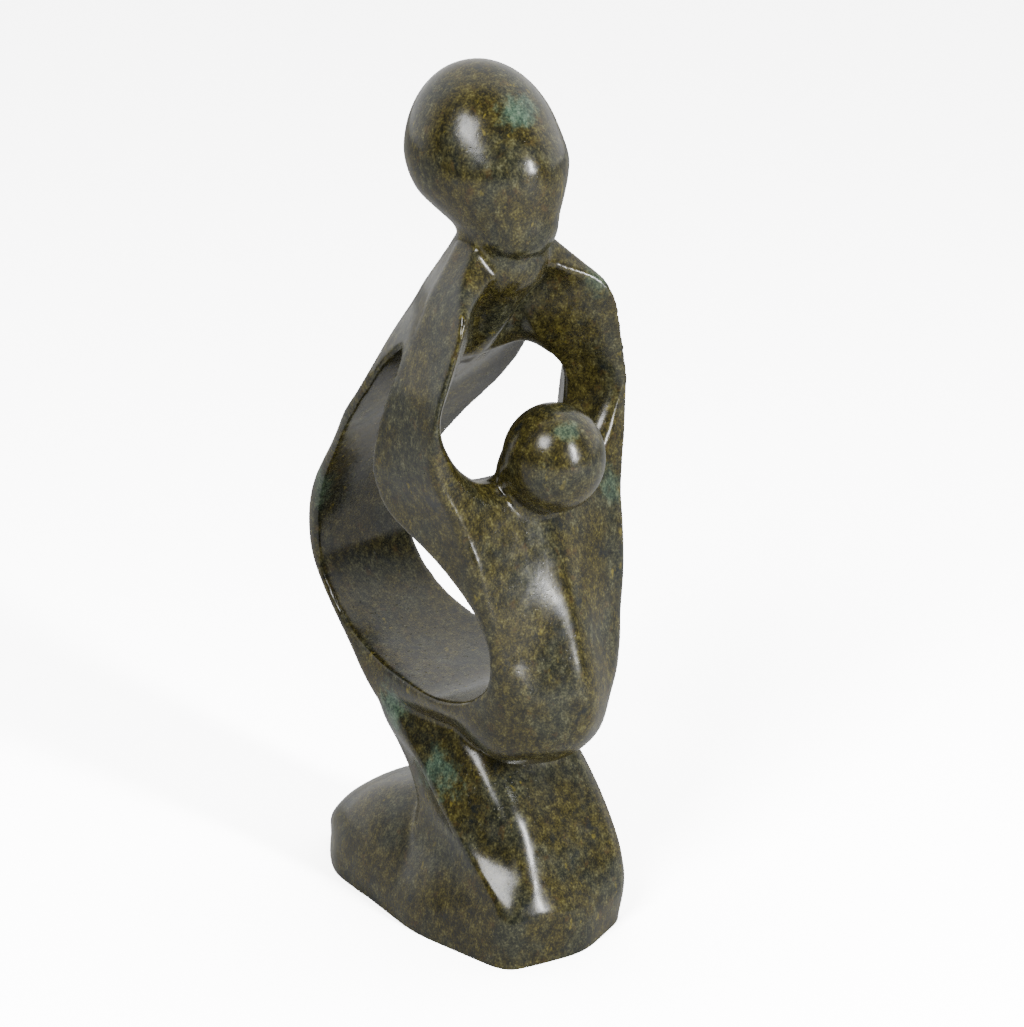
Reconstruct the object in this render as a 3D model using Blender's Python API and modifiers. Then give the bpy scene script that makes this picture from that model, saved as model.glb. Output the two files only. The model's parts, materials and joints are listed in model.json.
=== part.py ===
# Mother and child, a carving made from one block of serpentine.
# Metres, +Z up. The mother faces -Y, her left hand side is +X. The origin is the middle of the underside.
#
# The carving is built the way it was carved. A block is roughed out as stacked level outlines, the opening
# through the side and the opening between the arms are cut away, the round forms are left standing, and then
# the whole surface is sanded until every edge is soft.
#
# In the tables below a point is written in millimetres. "Forward" is the distance in front of the middle of
# the base, towards the side the mother faces, so it is -Y. "Side" is the distance from the middle plane.

import bpy
import numpy as np

MM = 0.001

# Overall height of the carving. Every table below is written for this height.
HEIGHT = 400 * MM
TABLE_HEIGHT = 400 * MM
SCALE = HEIGHT / TABLE_HEIGHT

# How finely the rough forms are laid out before they are sanded.
LEVEL_STEP = 2.5
POINTS_PER_SIDE = 28
POINTS_PER_OUTLINE = 120

# Sanding: the grain at which the surface is worked, how often it is rubbed over, and how hard.
GRAIN = 1.5 * MM
SANDING_PASSES = 9
SANDING_FORCE = 0.5

# The block is left this much too long below and then sawn off flat.
SAW_ALLOWANCE = 8

# Number of triangles of the finished surface before the base is sawn flat.
SURFACE_TRIANGLES = 9200

# Body of the mother from the lap to the shoulders, as level outlines that are the same on both sides.
# Columns: height, side and forward of the back edge, forward of the middle of the back, side and forward of
# the edge behind the arm or the child, side and forward of the front corner, forward of the middle in front.
BODY_LEVELS = [
    (336, 9, 6, 4, 12, 15, 12, 20, 24),
    (326, 13, 4, 0, 20, 14, 20, 25.5, 28),
    (312, 20, -1.5, -9, 30.5, 14, 34, 33, 34),
    (304, 24.5, -4.5, -15, 37, 14, 40.5, 41, 41),
    (296, 28, -7, -21, 41, 14, 44, 44.5, 44.5),
    (280, 38, -12, -30, 46, 10, 49.5, 45.5, 45.5),
    (266, 44, -17.5, -36, 50.5, 5, 53.5, 43.5, 45),
    (253, 45, -26.5, -44, 53, 2, 56, 40.5, 44),
    (241, 44.5, -36.5, -54, 55, -1, 56.5, 39.5, 44),
    (229, 41.5, -46, -63, 56, -3, 54.5, 41.5, 45),
    (217, 37.2, -57, -74, 54, -2, 50, 45.5, 48),
    (205, 34.2, -67.7, -83, 51.5, 6, 46.5, 49, 53.5),
    (194, 32, -76.3, -91, 48, 24, 44.5, 52.8, 57.3),
    (182, 30, -83, -96, 45, 42.5, 43.4, 55.4, 61.8),
    (170, 28.5, -86.5, -99, 42, 53, 42, 57.8, 66.2),
    (150, 28, -84, -97, 39.5, 55, 40, 60, 72.5),
    (139, 28.5, -76.5, -92, 38, 54, 40, 62, 75.8),
    (126, 30.5, -62, -82, 36.5, 50, 39.5, 62.5, 78),
    (118, 33, -50, -74, 35.5, 42, 38, 60.5, 78),
    (110, 34.5, -41, -63, 34, 30, 37, 58.5, 76),
    (103, 33.5, -36, -54, 29, 20, 35.5, 57, 72.5),
    (96, 30.5, -33, -46, 21, 10, 32, 53, 66.5),
    (90, 24, -28, -37, 13, 4, 26, 46.5, 58),
]

# Share of the fall from the ridge down the middle of the front to its corners that starts at the ridge
# itself, by height. 1 gives two flat faces, 0 a round front with no ridge. The ridge itself is rounded over
# this share of the half width.
FRONT_RIDGE = [(336, 0.5), (232, 0.5), (208, 1.4), (129, 1.4), (112, 0.9), (90, 0.9)]
FRONT_RIDGE_ROUNDING = 0.16
# How far along the outline the rounding of the front corner reaches, by height.
CORNER_ROUNDING = [(336, 1), (229, 2), (205, 4), (182, 6), (160, 8), (145, 12), (132, 20), (118, 28), (103, 26), (90, 18)]

# Folded legs and the block they rest on, as level outlines that differ on the two sides: the front is cut
# back on the mother's right, where a ridge runs from her hip down to the corner of the base.
# Columns: height, then side and forward of: ridge, right front, middle front, left front, left side,
# left back, middle back, right back, right side.
LEG_LEVELS = [
    (113, (-34, -35), (-29, -22), (-24, -10), (9, 10), (22, -6), (26, -36), (0, -53), (-28, -42), (-34, -41)),
    (108, (-33.5, -30), (-28.2, -16), (-23, -2), (12, 30), (26, 0), (28, -36), (0, -53), (-29, -41), (-34, -38)),
    (100, (-33.5, -23.5), (-27.7, -7.5), (-21.9, 8.5), (16, 40), (28, 5), (28, -35), (0, -47), (-29, -37), (-33, -32)),
    (88, (-33.8, -10.5), (-27.3, 7.3), (-20.9, 25.2), (26, 42), (30, 10), (28, -31), (0, -38), (-28, -34), (-31, -26)),
    (76, (-34.2, 2.5), (-27.7, 20.3), (-21.3, 38.2), (33, 44), (32, 12), (27, -26), (0, -32), (-26, -29), (-28.5, -14)),
    (62, (-34.7, 16.5), (-28.2, 34), (-21.5, 51.2), (35, 52.8), (34, 18), (27, -20), (0, -27), (-25, -21), (-28.5, -2)),
    (48, (-35.5, 33), (-28.8, 45), (-21.5, 58.5), (34.9, 62), (37, 22), (29, -14), (0, -20), (-27, -15), (-30.5, 5)),
    (36, (-36.7, 50), (-29.5, 59.6), (-20.5, 67), (34.9, 67.5), (39.5, 22), (32, -18), (0, -24), (-30.5, -18), (-35, 8)),
    (30, (-37.2, 57.5), (-30.8, 66), (-18, 71.5), (34.8, 69), (41, 20), (33.5, -24), (0, -33), (-32.5, -24), (-38, 9)),
    (24, (-38, 63.5), (-31, 69.8), (-12, 75.5), (35, 69.7), (43, 18), (35.5, -30), (0, -43), (-35.5, -30), (-41.5, 10)),
    (19, (-38.7, 65.5), (-30, 70.7), (-6, 77.2), (35.1, 69.3), (44.5, 16), (37.5, -35), (0, -51), (-37.5, -35), (-44, 11)),
    (11, (-39.3, 66.3), (-29, 71), (-3, 77.5), (35.2, 67.7), (46, 14), (39.5, -41), (0, -59), (-40, -41), (-47.2, 12)),
    (0, (-40, 66.7), (-27.7, 71.3), (-1, 77.6), (34.6, 65.4), (46.5, 12), (41, -46), (0, -66), (-42, -46), (-49, 13)),
    (-8, (-40, 66.9), (-27.7, 71.5), (-1, 77.8), (34.6, 65), (46.5, 12), (41, -46), (0, -66), (-42, -46), (-49, 13)),
]
# Radius left on the ridge, by height, and on each of the other corners.
LEG_RIDGE_ROUNDING = [(113, 2), (36, 2), (28, 4), (18, 9), (-8, 12)]
LEG_CORNERS = (12, 10, 10, 30, 26, 40, 20, 12)

# Feet tucked under the mother at the back, as upright cross sections from the heels to the toes.
# Columns: forward, half width at the ground, half width higher up, height of the middle, height of the sides.
FEET_SECTIONS = [
    (18, 44.5, 24, 48, 33),
    (0, 45, 25, 51, 35),
    (-20, 44.5, 26, 52, 36.5),
    (-39, 43.5, 26.5, 48.5, 35.5),
    (-58, 40, 26, 41, 29),
    (-71, 32.5, 23.5, 32.5, 22.5),
    (-80, 25.5, 19.5, 24.5, 15.5),
    (-86, 20, 15, 17, 10),
    (-89, 15, 10, 11, 6),
    (-90.5, 9, 6, 5, 2.5),
]

# Mother's head: an egg standing on its narrow end. Columns: distance along the egg from its crown, radius.
HEAD_PROFILE = [
    (0, 0), (1, 7.2), (3.8, 13.9), (8, 19.8), (14, 25.2), (21.5, 29.6), (31, 32.9), (42, 33.9), (50, 33), (57, 29.8),
    (65, 25.1), (72.5, 20.9), (79, 18.6), (83, 16), (86.5, 11.8), (88.5, 5),
]
HEAD_CROWN = (-5.5, 398)
HEAD_CHIN = (20.5, 321)
HEAD_STEPS = 72
# The narrow end is carried this much further forward, between these distances from the crown.
HEAD_BEND = 8.8
HEAD_BEND_FROM = 30
HEAD_BEND_TO = 74
# The face has no features, only a soft upright ridge down its middle.
FACE_RIDGE = 2.2
FACE_RIDGE_WIDTH = 0.42

# Neck: it runs down between the shoulders as a wedge and fades out on the inside of the back.
# Columns: height, forward of its middle, half width, half depth.
NECK_LEVELS = [
    (338, 17, 21, 18),
    (330, 19, 20.5, 18),
    (322, 20.7, 19.5, 18),
    (314, 21.3, 18, 18),
    (306, 19.3, 16, 16.2),
    (298, 15, 13.5, 13),
    (290, 11, 11, 11.5),
    (280, 5, 8.5, 10),
    (270, -3, 6.5, 9),
    (262, -10, 5, 7.5),
]

# Child's head and neck.
CHILD_HEAD_HALF_WIDTH = 22.6
CHILD_HEAD_HALF_HEIGHT = 24.3
CHILD_HEAD = (53.5, 234)
CHILD_NECK = [(206, 36, 20, 16), (214, 40, 19.5, 17), (222, 44, 20, 19), (230, 48.5, 21.5, 21), (236, 51, 21, 21)]

# Opening through the side, between the back and the arms, as upright outlines of forward and height.
# The one at the side is what is seen from the side. Inside, the opening is lower at the neck, reaches
# further forward between the arms, and leaves the child's back full.
SIDE_OPENING_AT_SIDE = [
    (2, 286), (-6.5, 277), (-11, 266), (-30, 241), (-50.5, 217), (-67.5, 194), (-77, 172), (-76.5, 152),
    (-67.5, 139), (-54, 128), (-36, 120.5), (-12, 116), (12, 115), (33, 120), (46, 127), (54.5, 136),
    (57, 149), (55, 162), (45, 177), (28, 190.5), (12, 199), (1, 207), (-3, 219), (-2, 238), (1, 256),
    (3, 273),
]
SIDE_OPENING_INSIDE = [
    (2, 277), (-7, 270), (-13, 263), (-31, 241), (-52, 217), (-69, 194), (-78.5, 172), (-78, 151),
    (-69, 138), (-55, 127), (-36, 120), (-12, 115.5), (12, 114.5), (32, 120), (44, 127.5), (52, 137),
    (54, 150), (51, 163), (41.5, 178), (27, 191), (14, 202), (9, 210), (12, 222), (19, 242), (18, 259),
    (9, 272),
]
SIDE_OPENING_MIDDLE = [
    (0, 266), (-10, 259.5), (-20, 251), (-34, 240), (-54, 216.5), (-71, 194), (-80, 172), (-80, 151),
    (-71, 137), (-56, 126), (-37, 119), (-12, 115), (12, 114.5), (30, 121), (39, 131), (44, 142),
    (46, 155), (43, 168), (35.5, 180), (25, 191), (15, 203), (11, 212), (15, 224), (20, 242), (17, 260),
    (10, 270),
]
SIDE_OPENING_STATIONS = (0, 36, 52)

# Opening between the arms, above the child, as upright outlines of side and height from its lowest to its
# highest point. It narrows like a funnel from the front to the throat and runs out into the side opening.
# Columns: forward, outline.
FRONT_OPENING = [
    (80, ((0, 195), (20, 195), (45, 198), (58, 206), (68, 216), (75, 226), (80, 240), (82, 254), (80, 270),
          (76, 284), (70, 298), (62, 312), (50, 328), (0, 346))),
    (48, ((0, 216), (14, 216), (25, 216), (34, 218), (42.5, 222), (50, 228), (56, 236), (62, 247), (64, 259),
          (60, 271), (53, 284), (46, 297), (38, 312), (0, 328))),
    (38, ((0, 223), (12, 223), (22, 223.5), (30, 225.5), (36.5, 230), (41.5, 235), (46, 242), (49.5, 250),
          (50, 260), (45.5, 271), (40, 283), (35, 296), (29, 308), (0, 320))),
    (27, ((0, 221), (12, 221), (21, 221.5), (29, 224), (35, 229), (39, 234), (43, 241), (45, 249),
          (43, 258), (38, 267), (28, 281), (23, 296), (17, 307), (0, 314))),
    (18, ((0, 216.5), (12, 217), (20, 218.5), (27, 222), (32, 228), (35.5, 234), (37.5, 241), (38, 249),
          (35, 257), (31, 264), (19, 280), (14, 292), (9, 301), (0, 305))),
    (6, ((0, 209), (12, 210), (20, 212), (27, 216), (33, 223), (36, 232), (38, 241), (38, 249),
         (36, 256), (30, 262), (22, 267), (15, 270), (8, 271), (0, 271))),
    (-4, ((0, 212), (12, 213), (20, 215), (26, 219), (31, 225), (34, 233), (35, 241), (35, 248),
          (33, 253), (28, 257), (20, 260), (14, 261), (7, 262), (0, 262))),
]

STONE_COLOUR = (0.115, 0.095, 0.035, 1)
STONE_ROUGHNESS = 0.16


def clear_scene():
    for obj in list(bpy.data.objects):
        bpy.data.objects.remove(obj, do_unlink=True)


def new_collection(name):
    made = bpy.data.collections.new(name)
    bpy.context.scene.collection.children.link(made)
    return made


def world(side, forward, height):
    """Table coordinates in millimetres to metres in the model's frame."""
    side, forward, height = np.broadcast_arrays(side, forward, height)
    return np.stack([side, -forward, height], axis=-1) * MM * SCALE


def smooth_rows(rows, at):
    """Rows of numbers, keyed by their first column, read at the values `at` along a smooth curve."""
    rows = np.array(rows, float)
    rows = rows[np.argsort(rows[:, 0], kind="stable")]
    key, value = rows[:, 0], rows[:, 1:]
    slope = np.gradient(value, key, axis=0)
    index = np.clip(np.searchsorted(key, at, side="right") - 1, 0, len(key) - 2)
    width = (key[index + 1] - key[index])[:, None]
    t = ((at - key[index])[:, None]) / width
    first, last = value[index], value[index + 1]
    from_slope, to_slope = slope[index] * width, slope[index + 1] * width
    rise = t * t * (3 - 2 * t)
    return first * (1 - rise) + last * rise + from_slope * t * (1 - t) ** 2 - to_slope * t * t * (1 - t)


def smooth_outline(points, closed=True):
    """Points spread evenly along a smooth curve through the given points."""
    points = np.array(points, float)
    if closed:
        points = np.concatenate([points[-3:], points, points[:4]])
    else:
        points = np.concatenate([2 * points[:1] - points[1:2], points, 2 * points[-1:] - points[-2:-1]])
    step = np.sqrt(np.linalg.norm(np.diff(points, axis=0), axis=1))
    key = np.concatenate([[0], np.cumsum(step)])
    rows = np.column_stack([key, points])
    first, last = (3, len(points) - 4) if closed else (1, len(points) - 2)
    fine = np.linspace(key[first], key[last], 2000)
    curve = smooth_rows(rows, fine)
    length = np.concatenate([[0], np.cumsum(np.linalg.norm(np.diff(curve, axis=0), axis=1))])
    even = np.linspace(0, length[-1], POINTS_PER_OUTLINE + 1)
    if closed:
        even = even[:-1]
    return np.column_stack([np.interp(even, length, curve[:, k]) for k in range(points.shape[1])])


def object_from(name, vertices, faces, collection):
    mesh = bpy.data.meshes.new(name)
    mesh.from_pydata([tuple(v) for v in vertices], [], [tuple(f) for f in faces])
    mesh.validate()
    obj = bpy.data.objects.new(name, mesh)
    collection.objects.link(obj)
    return obj


def loft(name, rings, collection):
    """A closed solid through rings that all have the same number of points."""
    rings = np.array(rings)
    count, around = rings.shape[:2]
    i, j = np.meshgrid(np.arange(count - 1), np.arange(around), indexing="ij")
    after = (j + 1) % around
    quads = np.stack([i * around + j, i * around + after, (i + 1) * around + after, (i + 1) * around + j], -1)
    faces = [list(map(int, quad)) for quad in quads.reshape(-1, 4)]
    faces.append([int(k) for k in reversed(range(around))])
    faces.append([(count - 1) * around + int(k) for k in range(around)])
    points = rings.reshape(-1, 3)
    # The signed volume tells whether the faces look outwards.
    middle = points.mean(axis=0)
    volume = 0.0
    for face in faces:
        corners = points[face] - middle
        for k in range(1, len(face) - 1):
            volume += float(np.dot(corners[0], np.cross(corners[k], corners[k + 1])))
    if volume < 0:
        faces = [list(reversed(face)) for face in faces]
    return object_from(name, points, faces, collection)


def body_ring(height, row, ridge, rounding):
    """One level outline of the body, the same on both sides: back, side, rounded corner and front."""
    back_side, back, back_middle, side, behind, corner_side, corner, front = row
    part = np.linspace(0, 1, POINTS_PER_SIDE, endpoint=False)
    back_line = np.column_stack([part * back_side, back + (back_middle - back) * (1 - part**2)])
    edge = np.array([(back_side, back), (side, behind), (corner_side, corner)])
    first = edge[0] + (edge[1] - edge[0]) * part[:, None]
    second = edge[1] + (edge[2] - edge[1]) * part[:, None]
    turned = np.linspace(1, 0, 2 * POINTS_PER_SIDE)
    rounded = np.hypot(turned, FRONT_RIDGE_ROUNDING) - FRONT_RIDGE_ROUNDING
    fall = ridge * rounded / (np.hypot(1, FRONT_RIDGE_ROUNDING) - FRONT_RIDGE_ROUNDING)
    fall = fall + (1 - ridge) * turned**3
    front_line = np.column_stack([turned * corner_side, front - (front - corner) * fall])
    half = np.concatenate([back_line, first, second, front_line])
    length = np.concatenate([[0], np.cumsum(np.linalg.norm(np.diff(half, axis=0), axis=1))])
    at = length[3 * POINTS_PER_SIDE]
    start, end = (np.array([np.interp(at + k, length, half[:, c]) for c in (0, 1)]) for k in (-rounding, rounding))
    t = ((length - at) / (2 * rounding) + 0.5)[:, None]
    bend = (1 - t) ** 2 * start + 2 * t * (1 - t) * edge[2] + t * t * end
    half = np.where((t > 0) & (t < 1), bend, half)
    ring = np.concatenate([half, half[-2:0:-1] * (-1, 1)])
    return world(ring[:, 0], ring[:, 1], height)


def rounded_ring(height, corners, radii):
    """A level outline of straight runs with a rounded corner at each point."""
    corners = np.array(corners, float)
    ring = []
    for k, corner in enumerate(corners):
        before, after = corners[k - 1] - corner, corners[(k + 1) % len(corners)] - corner
        reach_before = min(radii[k], 0.49 * np.linalg.norm(before))
        reach_after = min(radii[k], 0.49 * np.linalg.norm(after))
        start = corner + before / np.linalg.norm(before) * reach_before
        end = corner + after / np.linalg.norm(after) * reach_after
        for t in np.linspace(0, 1, 11):
            ring.append((1 - t) ** 2 * start + 2 * t * (1 - t) * corner + t * t * end)
        following = corners[(k + 1) % len(corners)]
        reach_next = min(radii[(k + 1) % len(radii)], 0.49 * np.linalg.norm(after))
        next_start = following - after / np.linalg.norm(after) * reach_next
        for t in np.linspace(0, 1, 6)[1:-1]:
            ring.append(end + (next_start - end) * t)
    ring = np.array(ring)
    return world(ring[:, 0], ring[:, 1], height)


def level_heights(rows, step=LEVEL_STEP):
    heights = [row[0] for row in rows]
    low, high = min(heights), max(heights)
    return np.linspace(low, high, int(round((high - low) / step)) + 1)


def make_body(collection):
    heights = level_heights(BODY_LEVELS)
    rows = smooth_rows(BODY_LEVELS, heights)
    ridges = smooth_rows(FRONT_RIDGE, heights)[:, 0]
    roundings = smooth_rows(CORNER_ROUNDING, heights)[:, 0]
    rings = [body_ring(*values) for values in zip(heights, rows, ridges, roundings)]
    return loft("rough_body", rings, collection)


def make_legs(collection):
    heights = level_heights(LEG_LEVELS)
    flat = [(row[0], *[value for point in row[1:] for value in point]) for row in LEG_LEVELS]
    rows = smooth_rows(flat, heights)
    ridges = smooth_rows(LEG_RIDGE_ROUNDING, heights)[:, 0]
    levels = zip(heights, rows, ridges)
    rings = [rounded_ring(z, row.reshape(-1, 2), (ridge, *LEG_CORNERS)) for z, row, ridge in levels]
    return loft("rough_legs", rings, collection)


def make_feet(collection):
    """Upright cross sections, flat below and round above."""
    places = np.linspace(FEET_SECTIONS[-1][0], FEET_SECTIONS[0][0], 36)
    rows = smooth_rows(FEET_SECTIONS, places)
    rings = []
    for forward, (ground, upper, middle, sides) in zip(places, rows):
        half = [(ground, -SAW_ALLOWANCE), (ground, 0), (ground * 0.97, sides * 0.4), (upper * 1.25, sides)]
        half += [(upper * 0.8, sides + (middle - sides) * 0.72), (upper * 0.35, middle * 0.985)]
        points = half + [(0, middle)] + [(-x, z) for x, z in reversed(half)]
        curve = smooth_outline(points, closed=False)
        rings.append(world(curve[:, 0], forward, curve[:, 1]))
    return loft("rough_feet", rings, collection)


def make_head(collection):
    """An egg turned round its own axis, then pressed to a soft ridge along the middle of the face."""
    profile = smooth_outline(HEAD_PROFILE, closed=False)
    crown = np.array([0, HEAD_CROWN[0], HEAD_CROWN[1]])
    chin = np.array([0, HEAD_CHIN[0], HEAD_CHIN[1]])
    axis = (chin - crown) / np.linalg.norm(chin - crown)
    right = np.array([1.0, 0, 0])
    face = np.cross(axis, right)
    face = face if face[1] > 0 else -face
    turn = np.linspace(0, 2 * np.pi, HEAD_STEPS, endpoint=False)
    rings = []
    for distance, radius in profile[1:]:
        from_front = np.arctan2(np.sin(turn), np.cos(turn))
        ridge = FACE_RIDGE * np.exp(-((from_front / FACE_RIDGE_WIDTH) ** 2)) * min(1.0, distance / 40)
        reach = radius + ridge * radius / 39
        down = min(1.0, max(0.0, (distance - HEAD_BEND_FROM) / (HEAD_BEND_TO - HEAD_BEND_FROM)))
        bend = HEAD_BEND * down * down * (3 - 2 * down)
        middle = crown + axis * distance + face * bend
        ring = middle + np.outer(reach * np.sin(turn), right) + np.outer(reach * np.cos(turn), face)
        rings.append(world(ring[:, 0], ring[:, 1], ring[:, 2]))
    return loft("rough_head", rings, collection)


def make_column(name, levels, collection):
    """A round column from level ovals: height, forward of the middle, half width, half depth."""
    heights = level_heights(levels, 2)
    rows = smooth_rows(levels, heights)
    turn = np.linspace(0, 2 * np.pi, 64, endpoint=False)
    rings = []
    for height, (forward, wide, deep) in zip(heights, rows):
        rings.append(world(wide * np.sin(turn), forward + deep * np.cos(turn), height))
    return loft(name, rings, collection)


def make_child_head(collection):
    forward, middle = CHILD_HEAD
    around = np.linspace(0, 2 * np.pi, 64, endpoint=False)
    rings = []
    for down in np.linspace(0.03, np.pi - 0.03, 40):
        wide = CHILD_HEAD_HALF_WIDTH * np.sin(down)
        height = middle + CHILD_HEAD_HALF_HEIGHT * np.cos(down)
        rings.append(world(wide * np.sin(around), forward + wide * np.cos(around), height))
    return loft("rough_child_head", rings, collection)


def make_side_opening(collection):
    outlines = [smooth_outline(SIDE_OPENING_MIDDLE), smooth_outline(SIDE_OPENING_INSIDE)]
    outlines.append(smooth_outline(SIDE_OPENING_AT_SIDE))
    stations = np.array(SIDE_OPENING_STATIONS, float)
    rings = []
    for side in np.linspace(-70, 70, 71):
        reach = min(abs(side), stations[-1])
        rows = [(station, *outline.reshape(-1)) for station, outline in zip(stations, outlines)]
        mirrored = [(-rows[1][0], *rows[1][1:]), *rows]
        outline = smooth_rows(mirrored, np.array([reach]))[0].reshape(-1, 2)
        rings.append(world(side, outline[:, 0], outline[:, 1]))
    return loft("side_opening", rings, collection)


def make_front_opening(collection):
    rows = []
    for forward, half in FRONT_OPENING:
        full = list(half) + [(-x, z) for x, z in reversed(half[1:-1])]
        rows.append((forward, *smooth_outline(full).reshape(-1)))
    places = np.linspace(FRONT_OPENING[-1][0], FRONT_OPENING[0][0], 43)
    rings = []
    for forward, row in zip(places, smooth_rows(rows, places)):
        outline = row.reshape(-1, 2)
        rings.append(world(outline[:, 0], forward, outline[:, 1]))
    return loft("front_opening", rings, collection)


def combine(obj, other, operation):
    modifier = obj.modifiers.new(f"{operation.lower()} {other.name}", "BOOLEAN")
    modifier.operation = operation
    modifier.solver = "EXACT"
    modifier.object = other


def settle(obj):
    """Replaces the object's mesh and its modifiers by the mesh that they give."""
    graph = bpy.context.evaluated_depsgraph_get()
    made = bpy.data.meshes.new_from_object(obj.evaluated_get(graph), depsgraph=graph)
    obj.modifiers.clear()
    obj.data = made


def sand(obj):
    remesh = obj.modifiers.new("grain", "REMESH")
    remesh.mode = "VOXEL"
    remesh.voxel_size = GRAIN * SCALE
    remesh.use_smooth_shade = True
    smooth = obj.modifiers.new("sanding", "SMOOTH")
    smooth.factor = SANDING_FORCE
    smooth.iterations = SANDING_PASSES
    settle(obj)


def thin_out(obj):
    triangles = sum(len(face.vertices) - 2 for face in obj.data.polygons)
    decimate = obj.modifiers.new("fewer faces", "DECIMATE")
    decimate.ratio = min(1.0, SURFACE_TRIANGLES / triangles)
    settle(obj)


def saw_off_base(obj, cutters):
    bpy.ops.mesh.primitive_cube_add(size=1, location=(0, 0, -0.05 * SCALE))
    box = bpy.context.active_object
    box.name = "saw_cut"
    box.scale = (0.4 * SCALE, 0.4 * SCALE, 0.1 * SCALE)
    for user in list(box.users_collection):
        user.objects.unlink(box)
    cutters.objects.link(box)
    combine(obj, box, "DIFFERENCE")


def stone():
    material = bpy.data.materials.new("serpentine")
    material.use_nodes = True
    shader = material.node_tree.nodes["Principled BSDF"]
    shader.inputs["Base Color"].default_value = STONE_COLOUR
    shader.inputs["Roughness"].default_value = STONE_ROUGHNESS
    material.diffuse_color = STONE_COLOUR
    return material


def hide(collection):
    collection.hide_render = True
    for obj in collection.objects:
        obj.hide_render = True
        obj.display_type = "WIRE"


def build():
    clear_scene()
    sculpture = new_collection("mother and child sculpture")
    cutters = new_collection("cutters and rough forms")

    block = make_body(sculpture)
    block.name = "mother_and_child"
    combine(block, make_side_opening(cutters), "DIFFERENCE")
    combine(block, make_front_opening(cutters), "DIFFERENCE")
    for form in (
        make_legs(cutters),
        make_feet(cutters),
        make_column("rough_neck", NECK_LEVELS, cutters),
        make_head(cutters),
        make_column("rough_child_neck", CHILD_NECK, cutters),
        make_child_head(cutters),
    ):
        combine(block, form, "UNION")
    settle(block)
    sand(block)
    thin_out(block)
    saw_off_base(block, cutters)

    block.data.name = "mother_and_child"
    block.data.materials.clear()
    block.data.materials.append(stone())
    hide(cutters)


build()
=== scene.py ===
# %% [markdown]
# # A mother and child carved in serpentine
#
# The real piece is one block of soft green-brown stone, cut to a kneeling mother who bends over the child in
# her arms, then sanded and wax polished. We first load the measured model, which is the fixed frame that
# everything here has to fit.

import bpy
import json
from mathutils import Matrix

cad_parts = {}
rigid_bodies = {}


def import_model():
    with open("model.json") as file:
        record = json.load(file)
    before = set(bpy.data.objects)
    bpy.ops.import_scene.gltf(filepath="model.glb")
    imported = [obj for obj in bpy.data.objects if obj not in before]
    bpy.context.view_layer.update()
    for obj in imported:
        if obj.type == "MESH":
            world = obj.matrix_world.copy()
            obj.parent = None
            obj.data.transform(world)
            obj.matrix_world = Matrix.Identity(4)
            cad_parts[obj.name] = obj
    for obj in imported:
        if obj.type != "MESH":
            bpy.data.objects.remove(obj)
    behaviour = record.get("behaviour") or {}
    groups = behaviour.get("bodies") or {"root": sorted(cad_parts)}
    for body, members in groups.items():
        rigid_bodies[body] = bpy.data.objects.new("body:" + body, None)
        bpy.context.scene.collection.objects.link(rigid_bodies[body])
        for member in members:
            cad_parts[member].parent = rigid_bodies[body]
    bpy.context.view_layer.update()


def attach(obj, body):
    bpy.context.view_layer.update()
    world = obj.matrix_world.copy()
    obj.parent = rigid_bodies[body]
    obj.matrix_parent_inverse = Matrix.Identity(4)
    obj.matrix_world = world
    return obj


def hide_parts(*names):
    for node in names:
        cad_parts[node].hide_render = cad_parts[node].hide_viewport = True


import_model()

# %% [markdown]
# ## How the carving is described
#
# A free form like this could be sculpted by hand, but numbers are easier to check against the real one.
# So we describe it the way the carver cut it: level outlines for the block, two openings cut out of it,
# and round forms left standing. All table values are millimetres. "Forward" is the distance in front of the
# middle of the base, the way the mother faces, which is -Y in the scene. "Side" is the distance from the
# middle plane. One function turns table values into scene coordinates.

# %% Units and the change to scene coordinates
import json

import bpy
import numpy as np

MM = 0.001


def place(side, forward, height):
    """A point of the tables in metres: X is the side, Y is minus forward, Z is the height."""
    side, forward, height = np.broadcast_arrays(side, forward, height)
    return np.stack([side, -forward, height], axis=-1) * MM


print("10 mm to the side, 20 mm forward, 30 mm up is", place(10, 20, 30))

# %% [markdown]
# ## Smooth curves through few points
#
# Each table has only as many rows as the form needs, so we need smooth values between them. A cubic curve
# that keeps the slope of its neighbours at each row does this without overshooting much. The second helper
# spreads points evenly along such a curve, which gives us outlines of any fineness from about twenty points.

# %% Curves through tables


def between_rows(rows, at):
    """Reads a table, keyed by its first column, at the values `at`.

    Between two rows it is the cubic that meets both rows and both slopes:
    first * (1 - r) + last * r + slope terms, with r = t * t * (3 - 2 * t).
    """
    rows = np.array(rows, float)
    rows = rows[np.argsort(rows[:, 0], kind="stable")]
    key, value = rows[:, 0], rows[:, 1:]
    slope = np.gradient(value, key, axis=0)
    index = np.clip(np.searchsorted(key, at, side="right") - 1, 0, len(key) - 2)
    width = (key[index + 1] - key[index])[:, None]
    t = (at - key[index])[:, None] / width
    r = t * t * (3 - 2 * t)
    bend = slope[index] * width * t * (1 - t) ** 2 - slope[index + 1] * width * t * t * (1 - t)
    return value[index] * (1 - r) + value[index + 1] * r + bend


# An outline is first drawn with this many points, and then divided evenly.
CURVE_POINTS = 2400


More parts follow.
